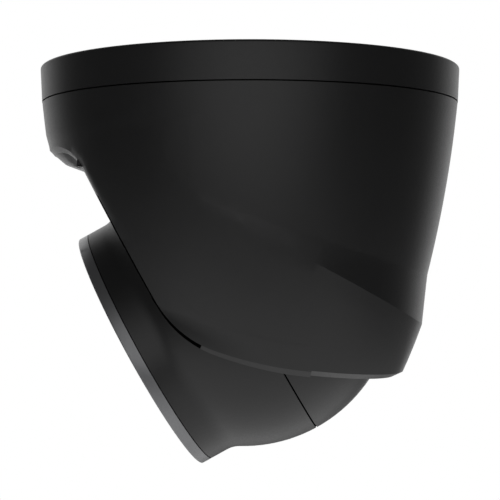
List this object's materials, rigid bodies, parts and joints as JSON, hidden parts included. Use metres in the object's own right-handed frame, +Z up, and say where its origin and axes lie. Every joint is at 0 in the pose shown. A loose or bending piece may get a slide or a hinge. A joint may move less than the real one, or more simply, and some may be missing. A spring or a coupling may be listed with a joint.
{
  "type": "dome cctv camera",
  "caption": "Ceiling turret security camera: round base ring, turning tapered shell with a slanted front cut, and an aimable ball with a flat windowed lens face.",
  "frame": {"origin": "centre of the flat ceiling face of the base ring", "axes": "+Z up into the ceiling along the pan axis, -X towards the side the lens looks to, +Y to the camera's left side"},
  "size_m": [0.1382, 0.1382, 0.1301],
  "materials": {
    "black_alloy": "cast aluminium with a fine matte black powder coat",
    "black_plastic": "moulded black plastic, fine texture",
    "steel": "zinc plated",
    "raw_alloy": "plain machined",
    "black_rubber": "matte",
    "nylon": "natural nylon",
    "brass": "turned",
    "circuit_board": "green solder mask",
    "chip": "moulded epoxy",
    "sensor_glass": "polished cover glass over the chip",
    "thermal_pad": "soft grey silicone",
    "dark_window": "flat polished dark window",
    "lens_glass": "coated optical glass",
    "led_white": "clear silicone over phosphor",
    "reflector": "vacuum metallised",
    "microphone_steel": "pressed can"
  },
  "bodies": {
    "base": {"base_ring": "black_alloy", "base_gasket": "black_rubber", "cable_grommet": "black_rubber", "pan_bearing": "nylon", "retaining_ring": "steel", "retaining_screws": "steel"},
    "turret": {"shell": "black_alloy", "pan_plate": "raw_alloy", "pan_plate_screws": "steel"},
    "yoke": {"tilt_yoke": "steel", "tilt_pins": "steel", "pivot_washer": "nylon"},
    "head": {"ball_rear": "black_alloy", "ball_front": "black_alloy", "bezel_ring": "black_plastic", "front_mask": "black_plastic", "lens_barrel": "black_plastic", "lens_holder": "black_plastic", "board_connector": "black_plastic", "ball_screws": "steel", "pivot_nut": "steel", "chassis_screws": "steel", "board_screws": "steel", "led_board_screws": "steel", "pivot_stud": "raw_alloy", "chassis": "raw_alloy", "heat_sink": "raw_alloy", "ball_seal": "black_rubber", "stud_seal": "black_rubber", "lens_shroud": "black_rubber", "window_gasket": "black_rubber", "bezel_seal": "black_rubber", "board_spacers": "brass", "sensor_spacers": "brass", "main_board": "circuit_board", "sensor_board": "circuit_board", "led_board": "circuit_board", "processor": "chip", "light_sensor": "chip", "image_sensor": "sensor_glass", "thermal_pad": "thermal_pad", "front_window": "dark_window", "front_lens": "lens_glass", "rear_lens": "lens_glass", "cut_filter": "lens_glass", "led_windows": "lens_glass", "leds": "led_white", "led_reflectors": "reflector", "microphone": "microphone_steel"}
  },
  "joints": [
    {"name": "pan", "type": "hinge", "parent": "base", "child": "turret", "pos_m": [0, 0, 0], "axis": [0, 0, 1], "range_deg": [-180, 180]},
    {"name": "tilt", "type": "hinge", "parent": "turret", "child": "yoke", "pos_m": [-0.0021, 0, -0.0743], "axis": [0, 1, 0], "range_deg": [-61, 14]},
    {"name": "rotate", "type": "hinge", "parent": "yoke", "child": "head", "pos_m": [-0.0021, 0, -0.0743], "axis": [-0.8746, 0, -0.4848], "range_deg": [-180, 180]}
  ]
}
